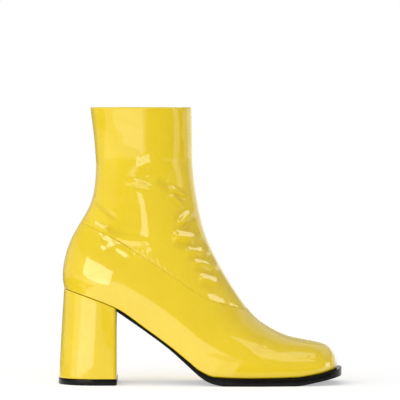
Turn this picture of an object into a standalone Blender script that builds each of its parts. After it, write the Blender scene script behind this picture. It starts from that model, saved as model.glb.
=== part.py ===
"""Heeled ankle boot for the right foot: patent upper and shaft, block heel, thin outsole.

Millimetres inside the tables, metres in the scene. +X runs from heel to toe, +Y to the
inner side of the foot, +Z up, and the boot stands on z = 0.
"""

import math
from collections import namedtuple

import bmesh
import bpy

MM = 0.001

# Driving dimensions
HEEL_BACK_X = -115.6  # back of the heel seat
TOE_TIP_X = 116.6  # front of the upper at the sole
BREAST_X = -70.6  # front face of the heel block
HEEL_SEAT_Z = 81.0  # floor to the back of the heel seat
COLLAR_Z = 234.6  # floor to the top edge of the shaft
LIFT_THICK = 5.2  # wearing piece under the heel
UPPER_WALL = 2.0  # patent outside, backing and lining
SHAFT_WALL = 1.6  # thinner stretch patent
INSOLE_THICK = 2.0
GAP = 0.3  # between neighbouring pieces

# Roundness of the plan outline
TOE_ROUND = 24.0  # length over which the square toe rounds in
TOE_SQUARE = 3.0
HEEL_ROUND = 35.0  # length of the round back of the heel
COUNTER_ROUND = 42.0  # and of the counter above it
HEEL_SQUARE = 2.1

# Roundness of the cross-section of the foot
DOME_START = 0.2  # share of the height where the side wall starts to lean in
DOME_SQUARE = 2.15  # roundness of the sections over the toes
INSTEP_SQUARE = 2.8  # and over the instep, fuller at the sides
INSTEP_EASE = (-10.0, 40.0)  # places between which one passes into the other
LEG_SQUARE = 2.15
INSTEP_TOP_X = 1.8  # the foot's ridge follows the front line up to here and then runs straight
BODY_LEAN = 0.065  # slope of the sides inwards above their fullest height
LEAN_EASE = 9.0  # height over which that slope sets in
LEG_BLEND = (0.40, 1.50)  # foot sections give way to leg sections over these levels
ARCH_FADES = (0.30, 1.75)  # and rings that follow the arch to flat ones

# Outsole edge beyond the upper's lower edge
EDGE_SIDE = 2.4
EDGE_TOE = 3.6
EDGE_SHANK = 0.3
EDGE_GROWS = (-25.0, 30.0)  # from shank to forefoot

SOLE_BEVEL = 0.6
INSOLE_BEVEL = 0.5
BEVEL_OF_THICKNESS = 0.4  # no bevel is more than these shares of a plate's thickness and width
BEVEL_OF_WIDTH = 0.3

# Heel block
HEEL_FLARE = 4.6  # the back leans out this far from seat to floor
HEEL_FOOT_HALF = 30.6  # half width at the floor, at the back
HEEL_TAPER = 1.2  # and how much narrower it is at the breast
BREAST_ROUND = 3.0  # rounded edges of the breast
BREAST_START = 0.6  # how far into that rounding the breast's flat face begins
LIFT_EDGE = 0.2  # the wearing piece stands out this far round the heel

# Mesh density
AROUND = 32  # points from back to front on each side of the upper
FOOT_RINGS = 16
SHAFT_RINGS = 16
PLATE_STATIONS = 38
HEEL_POINTS = 17
HEEL_LEVELS = 4

LineRow = namedtuple("LineRow", "x z")
SEAT = [  # top face of heel and sole, from the back to the toe
    LineRow(HEEL_BACK_X, HEEL_SEAT_Z),
    LineRow(-93.0, 73.7),
    LineRow(BREAST_X, 64.6),
    LineRow(-46.0, 47.6),
    LineRow(-25.5, 32.6),
    LineRow(-10.0, 20.0),
    LineRow(0.0, 12.0),
    LineRow(12.0, 7.2),
    LineRow(45.0, 6.2),
    LineRow(80.0, 6.7),
    LineRow(100.0, 9.6),
    LineRow(TOE_TIP_X, 13.4),
]
UNDERSIDE = [  # underside of the outsole, flat on the floor under the ball
    LineRow(BREAST_X, 62.6),
    LineRow(-46.0, 45.5),
    LineRow(-25.5, 30.2),
    LineRow(-10.0, 16.4),
    LineRow(0.0, 7.6),
    LineRow(6.0, 3.7),
    LineRow(12.0, 1.5),
    LineRow(21.0, 0.0),
    LineRow(80.0, 0.0),
    LineRow(100.0, 3.2),
    LineRow(TOE_TIP_X + EDGE_TOE, 7.8),
]
FRONT_LINE = [  # centre line of the front: toe, vamp, instep, shin
    LineRow(TOE_TIP_X, 13.7),
    LineRow(116.2, 19.0),
    LineRow(115.2, 25.0),
    LineRow(111.9, 30.3),
    LineRow(105.7, 34.5),
    LineRow(96.6, 36.9),
    LineRow(85.0, 39.1),
    LineRow(76.0, 41.2),
    LineRow(64.5, 46.0),
    LineRow(51.5, 54.0),
    LineRow(40.8, 64.4),
    LineRow(32.0, 76.6),
    LineRow(22.2, 92.0),
    LineRow(13.2, 108.4),
    LineRow(6.2, 123.5),
    LineRow(1.8, 137.5),
    LineRow(-1.8, 154.5),
    LineRow(-4.4, 171.0),
    LineRow(-5.8, 187.0),
    LineRow(-6.4, COLLAR_Z),
]
BACK_LINE = [  # centre line of the back: heel curve, ankle, calf
    LineRow(HEEL_BACK_X, HEEL_SEAT_Z + GAP),
    LineRow(-116.7, 91.0),
    LineRow(-116.1, 100.0),
    LineRow(-113.6, 112.0),
    LineRow(-109.0, 124.0),
    LineRow(-102.8, 135.2),
    LineRow(-96.4, 146.0),
    LineRow(-92.0, 156.0),
    LineRow(-89.5, 168.0),
    LineRow(-88.4, 184.0),
    LineRow(-89.6, 204.0),
    LineRow(-93.2, COLLAR_Z),
]
SEAM_BACK_Z = 137.5  # where the seam of foot and shaft meets the back line
SEAM_FRONT_Z = 62.0  # and where it crosses the vamp

PlanRow = namedtuple("PlanRow", "x sole_outer sole_inner body_outer body_inner full_rise")
PLAN = [  # half widths at the sole's edge and at the fullest height, and that height over the sole
    PlanRow(HEEL_BACK_X, 29.2, 29.2, 33.6, 33.6, 18.0),
    PlanRow(-91.0, 29.4, 29.0, 33.4, 33.0, 18.5),
    PlanRow(-66.0, 27.8, 26.2, 33.6, 31.5, 23.0),
    PlanRow(-32.0, 29.4, 24.6, 35.0, 31.8, 28.0),
    PlanRow(-5.0, 33.2, 29.8, 37.2, 35.2, 28.0),
    PlanRow(22.0, 37.0, 37.0, 39.6, 39.8, 19.0),
    PlanRow(46.0, 38.0, 40.6, 40.3, 43.0, 11.0),
    PlanRow(71.0, 36.0, 39.6, 38.2, 41.8, 8.5),
    PlanRow(96.0, 31.8, 35.2, 33.6, 37.0, 7.0),
    PlanRow(TOE_TIP_X, 27.5, 31.5, 29.0, 33.0, 6.5),
]

LegRow = namedtuple("LegRow", "z half_width fullest")
LEG = [  # half width of the leg by height, and the share of its depth where it is fullest
    LegRow(60.0, 30.6, 0.56),
    LegRow(110.0, 31.0, 0.57),
    LegRow(136.0, 30.4, 0.54),
    LegRow(165.0, 29.4, 0.46),
    LegRow(190.0, 29.3, 0.47),
    LegRow(212.0, 30.5, 0.49),
    LegRow(COLLAR_Z, 33.2, 0.50),
]


def smooth_curve(knots, values):
    """A function through the table's points that never overshoots them (monotone cubic)."""
    steps = [b - a for a, b in zip(knots, knots[1:])]
    slopes = [(b - a) / h for a, b, h in zip(values, values[1:], steps)]
    tangents = [slopes[0]]
    for left, right, h0, h1 in zip(slopes, slopes[1:], steps, steps[1:]):
        if left * right <= 0:
            tangents.append(0.0)
        else:
            w0, w1 = 2 * h1 + h0, h1 + 2 * h0
            tangents.append((w0 + w1) / (w0 / left + w1 / right))
    tangents.append(slopes[-1])

    def curve(x):
        i = 0
        while i < len(steps) - 1 and x > knots[i + 1]:
            i += 1
        h = steps[i]
        t = min(max((x - knots[i]) / h, 0.0), 1.0)
        beyond = x - knots[i] - t * h
        a = (1 + 2 * t) * (1 - t) ** 2 * values[i] + t * (1 - t) ** 2 * h * tangents[i]
        b = t * t * (3 - 2 * t) * values[i + 1] + t * t * (t - 1) * h * tangents[i + 1]
        end = tangents[i + 1] if beyond > 0 else tangents[i]
        return a + b + beyond * end

    return curve


def column(rows, name):
    return [getattr(row, name) for row in rows]


def table_curve(rows, key, name):
    return smooth_curve(column(rows, key), column(rows, name))


def along_line(rows):
    """(x, z) as a function of the length run along a centre line, and where it passes a height."""
    runs = [0.0]
    for a, b in zip(rows, rows[1:]):
        runs.append(runs[-1] + math.hypot(b.x - a.x, b.z - a.z))
    x_of = smooth_curve(runs, column(rows, "x"))
    z_of = smooth_curve(runs, column(rows, "z"))
    run_at = smooth_curve(column(rows, "z"), runs)
    return x_of, z_of, run_at, runs[-1]


def smoothstep(low, high, x):
    t = min(max((x - low) / (high - low), 0.0), 1.0)
    return t * t * (3 - 2 * t)


def quarter(share, square):
    """Rises from 0 to 1 like a quarter of a round (2) or squarer (more) arc."""
    t = min(max(share, 0.0), 1.0)
    return (1 - (1 - t) ** square) ** (1 / square)


seat = table_curve(SEAT, "x", "z")
underside = table_curve(UNDERSIDE, "x", "z")
front_x, front_z, front_run, front_length = along_line(FRONT_LINE)
back_x, back_z, back_run, back_length = along_line(BACK_LINE)
SEAM_FRONT_RUN = front_run(SEAM_FRONT_Z)
SEAM_BACK_RUN = back_run(SEAM_BACK_Z)
FOOT_TOP = [row for row in FRONT_LINE[::-1] if row.x >= INSTEP_TOP_X]
ridge = table_curve(FOOT_TOP, "x", "z")
leg_half = table_curve(LEG, "z", "half_width")
leg_fullest = table_curve(LEG, "z", "fullest")
shin = table_curve(FRONT_LINE, "z", "x")
calf = table_curve(BACK_LINE, "z", "x")
plan = {name: table_curve(PLAN, "x", name) for name in PlanRow._fields[1:]}


def outline(x, side, grow=0.0, grow_toe=0.0):
    """Half width of the sole's edge at x on one side, grown all round by a margin."""
    wide = plan["sole_" + side](x) + grow
    toe = quarter((TOE_TIP_X + grow_toe - x) / TOE_ROUND, TOE_SQUARE)
    heel = quarter((x - HEEL_BACK_X + grow) / HEEL_ROUND, HEEL_SQUARE)
    return wide * toe * heel


def ring_ends(level):
    """Back and front points of a ring round the boot; level 0 sole edge, 1 seam, 2 collar."""
    if level <= 1:
        back, front = SEAM_BACK_RUN * level, SEAM_FRONT_RUN * level
    else:
        back = SEAM_BACK_RUN + (back_length - SEAM_BACK_RUN) * (level - 1)
        front = SEAM_FRONT_RUN + (front_length - SEAM_FRONT_RUN) * (level - 1)
    return (back_x(back), back_z(back)), (front_x(front), front_z(front))


def ring_height(level, x, back, front):
    """Height of a ring at x: low rings follow the arch of the sole, high ones are flat."""
    u = (x - back[0]) / (front[0] - back[0])
    flat = back[1] + (front[1] - back[1]) * u
    arched = flat + seat(x) - (seat(back[0]) + (seat(front[0]) - seat(back[0])) * u)
    return arched + (flat - arched) * smoothstep(*ARCH_FADES, level)


def half_width(level, side, x, z, back, front):
    """Half width of the boot at a point of its side view."""
    rise = z - seat(x)
    tuck = math.sin(min(max(rise / plan["full_rise"](x), 0.0), 1.0) * math.pi / 2)
    edge, body = plan["sole_" + side](x), plan["body_" + side](x)
    above = max(rise - plan["full_rise"](x), 0.0)
    body -= BODY_LEAN * above * above / (above + LEAN_EASE)
    share = rise / max(ridge(x) - seat(x), 1.0)
    lean = min(max((share - DOME_START) / (1 - DOME_START), 0.0), 1.0)
    square = INSTEP_SQUARE + (DOME_SQUARE - INSTEP_SQUARE) * smoothstep(*INSTEP_EASE, x)
    dome = (1 - lean**square) ** (1 / square)
    toe = quarter((TOE_TIP_X - x) / TOE_ROUND, TOE_SQUARE)
    edge *= quarter((x - back[0]) / HEEL_ROUND, HEEL_SQUARE)
    body *= quarter((x - back[0]) / COUNTER_ROUND, HEEL_SQUARE)
    foot = (edge + (body - edge) * tuck) * dome * toe
    low = calf(z) + back[0] - calf(back[1])
    high = shin(z) + front[0] - shin(front[1])
    skew = math.log(0.5) / math.log(leg_fullest(z))
    u = min(max((x - low) / (high - low), 0.0), 1.0) ** skew
    leg = leg_half(z) * (1 - abs(2 * u - 1) ** LEG_SQUARE) ** (1 / LEG_SQUARE)
    return foot + (leg - foot) * smoothstep(*LEG_BLEND, level)


def boot_ring(level):
    """Closed ring of points round the boot: up the outer side from back to front, then back."""
    back, front = ring_ends(level)
    sides = {"outer": [], "inner": []}
    for side, sign in (("outer", -1), ("inner", 1)):
        for i in range(1, AROUND):
            u = (1 - math.cos(math.pi * i / AROUND)) / 2
            x = back[0] + (front[0] - back[0]) * u
            z = ring_height(level, x, back, front)
            sides[side].append((x, sign * half_width(level, side, x, z, back, front), z))
    heel_end, toe_end = (back[0], 0.0, back[1]), (front[0], 0.0, front[1])
    return [heel_end, *sides["outer"], toe_end, *sides["inner"][::-1]]


def lifted(ring, towards, distance):
    """The ring moved along the surface towards another ring."""
    moved = []
    for a, b in zip(ring, towards):
        step = math.dist(a, b)
        moved.append(tuple(p + (q - p) * distance / step for p, q in zip(a, b)))
    return moved


def new_object(name, rings, material, collection, parent, cap_ends):
    """Object from rings of points in millimetres, skinned with quads between neighbours."""
    mesh = bpy.data.meshes.new(name)
    bm = bmesh.new()
    loops = [[bm.verts.new([c * MM for c in p]) for p in ring] for ring in rings]
    for low, high in zip(loops, loops[1:]):
        for i in range(len(low)):
            j = (i + 1) % len(low)
            bm.faces.new((low[i], low[j], high[j], high[i]))
    if cap_ends:
        bm.faces.new(loops[0])
        bm.faces.new(loops[-1][::-1])
    bmesh.ops.recalc_face_normals(bm, faces=bm.faces)
    bm.to_mesh(mesh)
    bm.free()
    mesh.materials.append(material)
    mesh.shade_smooth()
    obj = bpy.data.objects.new(name, mesh)
    collection.objects.link(obj)
    obj.parent = parent
    return obj


def add_wall(obj, thickness):
    """Gives an open surface its wall, inwards."""
    wall = obj.modifiers.new("wall", "SOLIDIFY")
    wall.thickness = thickness * MM
    wall.offset = -1.0
    wall.use_rim = True


def make_upper(material, collection, parent):
    """The foot: a tube from the sole's edge to the seam, open above and underneath."""
    rings = [boot_ring(i / FOOT_RINGS) for i in range(FOOT_RINGS + 1)]
    upper = new_object("upper", rings, material, collection, parent, cap_ends=False)
    add_wall(upper, UPPER_WALL)


def make_shaft(material, collection, parent):
    """The leg: a tube from the seam to the collar, open at both ends."""
    rings = [boot_ring(1 + i / SHAFT_RINGS) for i in range(SHAFT_RINGS + 1)]
    rings[0] = lifted(rings[0], rings[1], GAP)
    shaft = new_object("shaft", rings, material, collection, parent, cap_ends=False)
    add_wall(shaft, SHAFT_WALL)


def stations(low, high, count):
    """Places along the boot, closer together near both ends."""
    end = 0.02
    middle, reach = (low + high) / 2, (high - low) / 2 - end
    return [middle - reach * math.cos(math.pi * i / count) for i in range(count + 1)]


def plate_section(x, outer, inner, top, bottom, bevel):
    """Section across a plate at x, with bevelled edges."""
    b = min(bevel, BEVEL_OF_THICKNESS * (top - bottom), BEVEL_OF_WIDTH * (outer + inner))
    return [
        (x, -outer + b, bottom),
        (x, -outer, bottom + b),
        (x, -outer, top - b),
        (x, -outer + b, top),
        (x, inner - b, top),
        (x, inner, top - b),
        (x, inner, bottom + b),
        (x, inner - b, bottom),
    ]


def sole_edge(x):
    """How far the outsole stands out beyond the upper's lower edge."""
    return EDGE_SHANK + (EDGE_SIDE - EDGE_SHANK) * smoothstep(*EDGE_GROWS, x)


def make_outsole(material, collection, parent):
    """Outsole from the heel breast to the toe."""
    rings = []
    for x in stations(BREAST_X + GAP, TOE_TIP_X + EDGE_TOE, PLATE_STATIONS):
        outer, inner = (outline(x, side, sole_edge(x), EDGE_TOE) for side in ("outer", "inner"))
        rings.append(plate_section(x, outer, inner, seat(x), underside(x), SOLE_BEVEL))
    new_object("outsole", rings, material, collection, parent, cap_ends=True)


def make_insole(material, collection, parent):
    """Insole board inside the upper, over heel seat, shank and forefoot."""
    inset = UPPER_WALL + 2 * GAP
    rings = []
    for x in stations(HEEL_BACK_X + inset, TOE_TIP_X - inset, PLATE_STATIONS):
        outer, inner = (outline(x, side, -inset, -inset) for side in ("outer", "inner"))
        bottom = seat(x) + GAP
        rings.append(plate_section(x, outer, inner, bottom + INSOLE_THICK, bottom, INSOLE_BEVEL))
    new_object("insole", rings, material, collection, parent, cap_ends=True)


def heel_outline(share, margin=0.0):
    """Outline of the heel block, share 0 at the floor and 1 at the seat, as (x, y) points."""
    back = HEEL_BACK_X - HEEL_FLARE * (1 - share) - margin
    front = BREAST_X + margin
    points = {-1: [], 1: []}
    for side, sign in (("outer", -1), ("inner", 1)):
        for i in range(1, HEEL_POINTS + 1):
            x = back + (front - back) * (1 - math.cos(math.pi / 2 * i / HEEL_POINTS))
            at_seat = plan["sole_" + side](x)
            at_floor = HEEL_FOOT_HALF - HEEL_TAPER * (x - back) / (front - back)
            half = at_floor + (at_seat - at_floor) * share + margin
            corner = quarter((front - x + BREAST_START) / BREAST_ROUND, 2.0)
            rounded = half - BREAST_ROUND * (1 - corner)
            points[sign].append((x, sign * rounded * quarter((x - back) / HEEL_ROUND, HEEL_SQUARE)))
    return [(back, 0.0), *points[-1], *points[1][::-1]]


def make_heel(material, collection, parent):
    """Block heel between the wearing piece and the seat of the upper."""
    rings = []
    for level in range(HEEL_LEVELS + 1):
        share = level / HEEL_LEVELS
        low = LIFT_THICK + GAP
        rings.append([(x, y, low + (seat(x) - low) * share) for x, y in heel_outline(share)])
    new_object("heel", rings, material, collection, parent, cap_ends=True)


def make_heel_lift(material, collection, parent):
    """Wearing piece under the heel block."""
    points = heel_outline(0.0, LIFT_EDGE)
    rings = [[(x, y, z) for x, y in points] for z in (0.0, LIFT_THICK)]
    new_object("heel_lift", rings, material, collection, parent, cap_ends=True)


def new_material(name, colour, roughness, coat):
    material = bpy.data.materials.new(name)
    material.use_nodes = True
    shader = material.node_tree.nodes["Principled BSDF"]
    shader.inputs["Base Color"].default_value = (*colour, 1.0)
    shader.inputs["Roughness"].default_value = roughness
    shader.inputs["Metallic"].default_value = 0.0
    shader.inputs["Coat Weight"].default_value = coat
    return material


def clear_scene():
    for obj in list(bpy.data.objects):
        bpy.data.objects.remove(obj, do_unlink=True)


def centre_empty(collection):
    """Empty that carries the boot, moved so that the outsole is centred over the origin."""
    empty = bpy.data.objects.new("boot_centre", None)
    collection.objects.link(empty)
    back = HEEL_BACK_X - HEEL_FLARE - LIFT_EDGE
    front = TOE_TIP_X + EDGE_TOE
    widest = [max(column(PLAN, "sole_" + side)) for side in ("outer", "inner")]
    empty.location = (-(back + front) / 2 * MM, (widest[0] - widest[1]) / 2 * MM, 0.0)
    return empty


def main():
    clear_scene()
    boot = bpy.data.collections.new("heeled_ankle_boot")
    bpy.context.scene.collection.children.link(boot)
    centre = centre_empty(boot)
    patent = new_material("yellow_patent", (0.85, 0.62, 0.035), 0.18, 1.0)
    rubber = new_material("black_sole", (0.012, 0.012, 0.013), 0.4, 0.0)
    lining = new_material("pale_lining", (0.62, 0.53, 0.30), 0.85, 0.0)
    make_upper(patent, boot, centre)
    make_shaft(patent, boot, centre)
    make_outsole(rubber, boot, centre)
    make_heel(patent, boot, centre)
    make_heel_lift(rubber, boot, centre)
    make_insole(lining, boot, centre)


main()
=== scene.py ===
"""Looks of the heeled ankle boot, right foot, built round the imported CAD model.

Tables and shaping functions work in millimetres in the boot's own frame: +X from heel to
toe, -Y the outer side that faces the camera, +Z up, floor at z = 0. Pieces are in metres.
"""

import math
from collections import namedtuple

import bpy
import numpy as np
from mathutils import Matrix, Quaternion, Vector


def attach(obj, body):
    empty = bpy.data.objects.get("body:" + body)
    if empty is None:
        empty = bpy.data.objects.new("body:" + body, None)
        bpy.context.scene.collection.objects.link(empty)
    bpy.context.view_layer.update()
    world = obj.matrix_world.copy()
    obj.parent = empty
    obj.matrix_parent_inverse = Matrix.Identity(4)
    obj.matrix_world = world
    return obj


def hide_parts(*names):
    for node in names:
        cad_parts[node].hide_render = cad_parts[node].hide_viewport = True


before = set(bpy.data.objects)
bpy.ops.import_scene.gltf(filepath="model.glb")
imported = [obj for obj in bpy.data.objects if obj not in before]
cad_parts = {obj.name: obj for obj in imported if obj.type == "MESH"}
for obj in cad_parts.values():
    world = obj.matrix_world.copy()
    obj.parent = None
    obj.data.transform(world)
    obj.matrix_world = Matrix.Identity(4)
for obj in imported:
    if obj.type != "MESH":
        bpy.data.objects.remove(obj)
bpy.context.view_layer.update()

MM = 0.001
BODY = "root"

# Camera, from the photograph's viewing angle
CAMERA_AT = (0.0, -3.0, 0.235)
CAMERA_AIM = (0.0, 0.0, 0.1558)
METRES_PER_PIXEL = 0.00085  # at the boot's centre plane
IMAGE_PIXELS = 400
SENSOR_MM = 36.0

# Driving dimensions, the same as in the CAD model
HEEL_BACK_X = -115.6
TOE_TIP_X = 116.6
BREAST_X = -70.6
HEEL_SEAT_Z = 81.0
COLLAR_Z = 234.6
LIFT_THICK = 5.2
UPPER_WALL = 2.0
SHAFT_WALL = 1.6
INSOLE_THICK = 2.0
GAP = 0.3
CENTRE_SHIFT = (0.1, -1.3, 0.0)  # the CAD model is centred over the origin by this much

TOE_ROUND = 24.0  # length over which the plan rounds off
TOE_SQUARE = 3.0  # 2 is a round arc, more is squarer
HEEL_ROUND = 35.0
COUNTER_ROUND = 42.0
HEEL_SQUARE = 2.1
DOME_START = 0.2  # share of the foot's height where its sides start to close
DOME_SQUARE = 2.15
INSTEP_SQUARE = 2.8
INSTEP_EASE = (-10.0, 40.0)  # x over which the instep's section becomes the toe's
LEG_SQUARE = 2.15
INSTEP_TOP_X = 1.8  # the front line is the foot's top from here forward
BODY_LEAN = 0.065  # how much the sides lean in above their fullest place
LEAN_EASE = 9.0
LEG_BLEND = (0.40, 1.50)  # levels over which the foot's width becomes the leg's
ARCH_FADES = (0.30, 1.75)  # levels over which rings stop following the sole's arch
EDGE_SIDE = 2.4  # how far the sole's edge stands out
EDGE_TOE = 3.6
EDGE_SHANK = 0.3
EDGE_GROWS = (-25.0, 30.0)  # x over which it grows, from shank to side
HEEL_FLARE = 4.6
HEEL_FOOT_HALF = 30.6
HEEL_TAPER = 1.2
BREAST_ROUND = 3.0
BREAST_CLEAR = 0.15  # keeps its corners from closing to an edge
LIFT_EDGE = 0.2

# Details that only the looks have
SEAM_ROLL = 0.9  # width over which the leather rolls into the seam
SEAM_DEPTH = 0.24
SEAM_DEEPER = 0.3  # by this much more where the seam is drawn in, at the star of creases
DEEPER_AT_X = -70.0
DEEPER_REACH = 11.0
PUCKER_PITCH = 6.5  # gathers along the seam
PUCKER_DEPTH = 0.10
PUCKER_REACH = 4.0
PUCKER_SWAY = 1.3  # and their uneven spacing
PUCKER_SWAY_RUN = 17.0
FOOT_PUCKER = 0.5  # gathers on the foot, as a share of the shaft's
SEAM_CLEAR = 0.04  # between foot and shaft at the seam
SEAM_LEVEL_LENGTH = 110.0  # about what one level spans near the seam
COLLAR_LEVEL_LENGTH = 100.0  # and near the collar
RIM_ROLL = 0.8  # turned lower edge of the upper, and both edges of the heel
RIM_DEPTH = 0.5
HEEL_RIM_DEPTH = 0.25
HEEL_MEAN_HALF = 28.0  # turns a depth into a share of the heel's size
LIFT_MEAN_HALF = 26.0  # and of the lift's
LIFT_TOP_ROUND = 0.4
ROLL_LIMIT = 0.999  # keeps a roll's steepest end finite
HEM_DEEP = 12.0  # patent turned in at the collar, above the lining
EDGE_ROUND = 0.8  # sole and lift edges
INSOLE_ROUND = 0.7
ROUND_LIMITS = (0.45, 0.4)  # most of a plate's thickness and width that a rounded edge takes
TREAD_PITCH = 3.2
TREAD_DEPTH = 0.45
TREAD_MARGIN = 5.0  # bare border
TREAD_EASE = 1.0  # width inside it over which the grooves deepen
TREAD_SWAY = 1.2  # the grooves' shallow waves
TREAD_SWAY_RUN = 4.0
GROOVE_SIDES = (0.1, 0.8)
TREAD_BACK = (16.0, 17.5)
TREAD_FRONT = (TOE_TIP_X - 4.0, TOE_TIP_X - 5.5)
LIFT_TREAD_EDGE = (0.1, 0.16)  # as shares drawn in from the lift's outline
ON_FACE = 0.01  # points this near the underside belong to it

# Mesh density
AROUND = 200  # points on each side of upper and shaft
EVEN_SHARE = 0.8  # how evenly they are spaced
FOOT_ROWS = 84
SHAFT_ROWS = 176
SEAM_ROWS = 12  # packed into the band of levels next to the seam
SEAM_BAND = 0.035
ROWS_CROWD = 1.25  # rows of the shaft lie closer together in its creased lower stretch
LINING_ROWS = 30
TOP_ROWS = 4  # rows that the lining keeps just under the collar
COLLAR_STEPS = 8
HEEL_AROUND = 120
HEEL_ROUND_SHARE = 0.65  # how much its points crowd together at the back
HEEL_ROWS = 48
EDGE_SHARES = (0.0, 0.002, 0.005, 0.01)  # rows of its turned edges, as shares of its height
EDGE_END = 0.02
LID_LOOPS = (0.9, 0.5, 0.1)  # loops on the heel's ends, as shares drawn in
LIFT_LOOPS = 30
LIFT_LOOP_ENDS = (0.98, 0.06)
LIFT_LID_LOOPS = (0.1, 0.5, 0.98)
LIFT_EDGE_STEPS = 5
LIFT_TOP_STEPS = 4
CORNER_STEPS = 5
SOLE_STATIONS = 300
SOLE_ACROSS = 72
INSOLE_STATIONS = 150
INSOLE_ACROSS = 24
END_CROWD = 0.4  # how much the stations crowd together near both ends
END_CLEAR = 0.02
CREASE_STEPS = 24
FLOOR_CELLS = 24

# Names of the pieces
SHAFT_PIECE = "leg_shaft"
FOOT_PIECE = "foot_upper"
HEEL_PIECE = "block_heel"
LIFT_PIECE = "heel_tap"
SOLE_PIECE = "sole"
SOCK_PIECE = "sock_insole"

LineRow = namedtuple("LineRow", "x z")
SEAT = [
    LineRow(HEEL_BACK_X, HEEL_SEAT_Z),
    LineRow(-93.0, 73.7),
    LineRow(BREAST_X, 64.6),
    LineRow(-46.0, 47.6),
    LineRow(-25.5, 32.6),
    LineRow(-10.0, 20.0),
    LineRow(0.0, 12.0),
    LineRow(12.0, 7.2),
    LineRow(45.0, 6.2),
    LineRow(80.0, 6.7),
    LineRow(100.0, 9.6),
    LineRow(TOE_TIP_X, 13.4),
]
UNDERSIDE = [
    LineRow(BREAST_X, 62.6),
    LineRow(-46.0, 45.5),
    LineRow(-25.5, 30.2),
    LineRow(-10.0, 16.4),
    LineRow(0.0, 7.6),
    LineRow(6.0, 3.7),
    LineRow(12.0, 1.5),
    LineRow(21.0, 0.0),
    LineRow(80.0, 0.0),
    LineRow(100.0, 3.2),
    LineRow(TOE_TIP_X + EDGE_TOE, 7.8),
]
FRONT_LINE = [
    LineRow(TOE_TIP_X, 13.7),
    LineRow(116.2, 19.0),
    LineRow(115.2, 25.0),
    LineRow(111.9, 30.3),
    LineRow(105.7, 34.5),
    LineRow(96.6, 36.9),
    LineRow(85.0, 39.1),
    LineRow(76.0, 41.2),
    LineRow(64.5, 46.0),
    LineRow(51.5, 54.0),
    LineRow(40.8, 64.4),
    LineRow(32.0, 76.6),
    LineRow(22.2, 92.0),
    LineRow(13.2, 108.4),
    LineRow(6.2, 123.5),
    LineRow(1.8, 137.5),
    LineRow(-1.8, 154.5),
    LineRow(-4.4, 171.0),
    LineRow(-5.8, 187.0),
    LineRow(-6.4, COLLAR_Z),
]
BACK_LINE = [
    LineRow(HEEL_BACK_X, HEEL_SEAT_Z + GAP),
    LineRow(-116.7, 91.0),
    LineRow(-116.1, 100.0),
    LineRow(-113.6, 112.0),
    LineRow(-109.0, 124.0),
    LineRow(-102.8, 135.2),
    LineRow(-96.4, 146.0),
    LineRow(-92.0, 156.0),
    LineRow(-89.5, 168.0),
    LineRow(-88.4, 184.0),
    LineRow(-89.6, 204.0),
    LineRow(-93.2, COLLAR_Z),
]
SEAM_BACK_Z = 137.5
SEAM_FRONT_Z = 62.0

PlanRow = namedtuple("PlanRow", "x sole_outer sole_inner body_outer body_inner full_rise")
PLAN = [
    PlanRow(HEEL_BACK_X, 29.2, 29.2, 33.6, 33.6, 18.0),
    PlanRow(-91.0, 29.4, 29.0, 33.4, 33.0, 18.5),
    PlanRow(-66.0, 27.8, 26.2, 33.6, 31.5, 23.0),
    PlanRow(-32.0, 29.4, 24.6, 35.0, 31.8, 28.0),
    PlanRow(-5.0, 33.2, 29.8, 37.2, 35.2, 28.0),
    PlanRow(22.0, 37.0, 37.0, 39.6, 39.8, 19.0),
    PlanRow(46.0, 38.0, 40.6, 40.3, 43.0, 11.0),
    PlanRow(71.0, 36.0, 39.6, 38.2, 41.8, 8.5),
    PlanRow(96.0, 31.8, 35.2, 33.6, 37.0, 7.0),
    PlanRow(TOE_TIP_X, 27.5, 31.5, 29.0, 33.0, 6.5),
]

LegRow = namedtuple("LegRow", "z half_width fullest")
LEG = [
    LegRow(60.0, 30.6, 0.56),
    LegRow(110.0, 31.0, 0.57),
    LegRow(136.0, 30.4, 0.54),
    LegRow(165.0, 29.4, 0.46),
    LegRow(190.0, 29.3, 0.47),
    LegRow(212.0, 30.5, 0.49),
    LegRow(COLLAR_Z, 33.2, 0.50),
]

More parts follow.
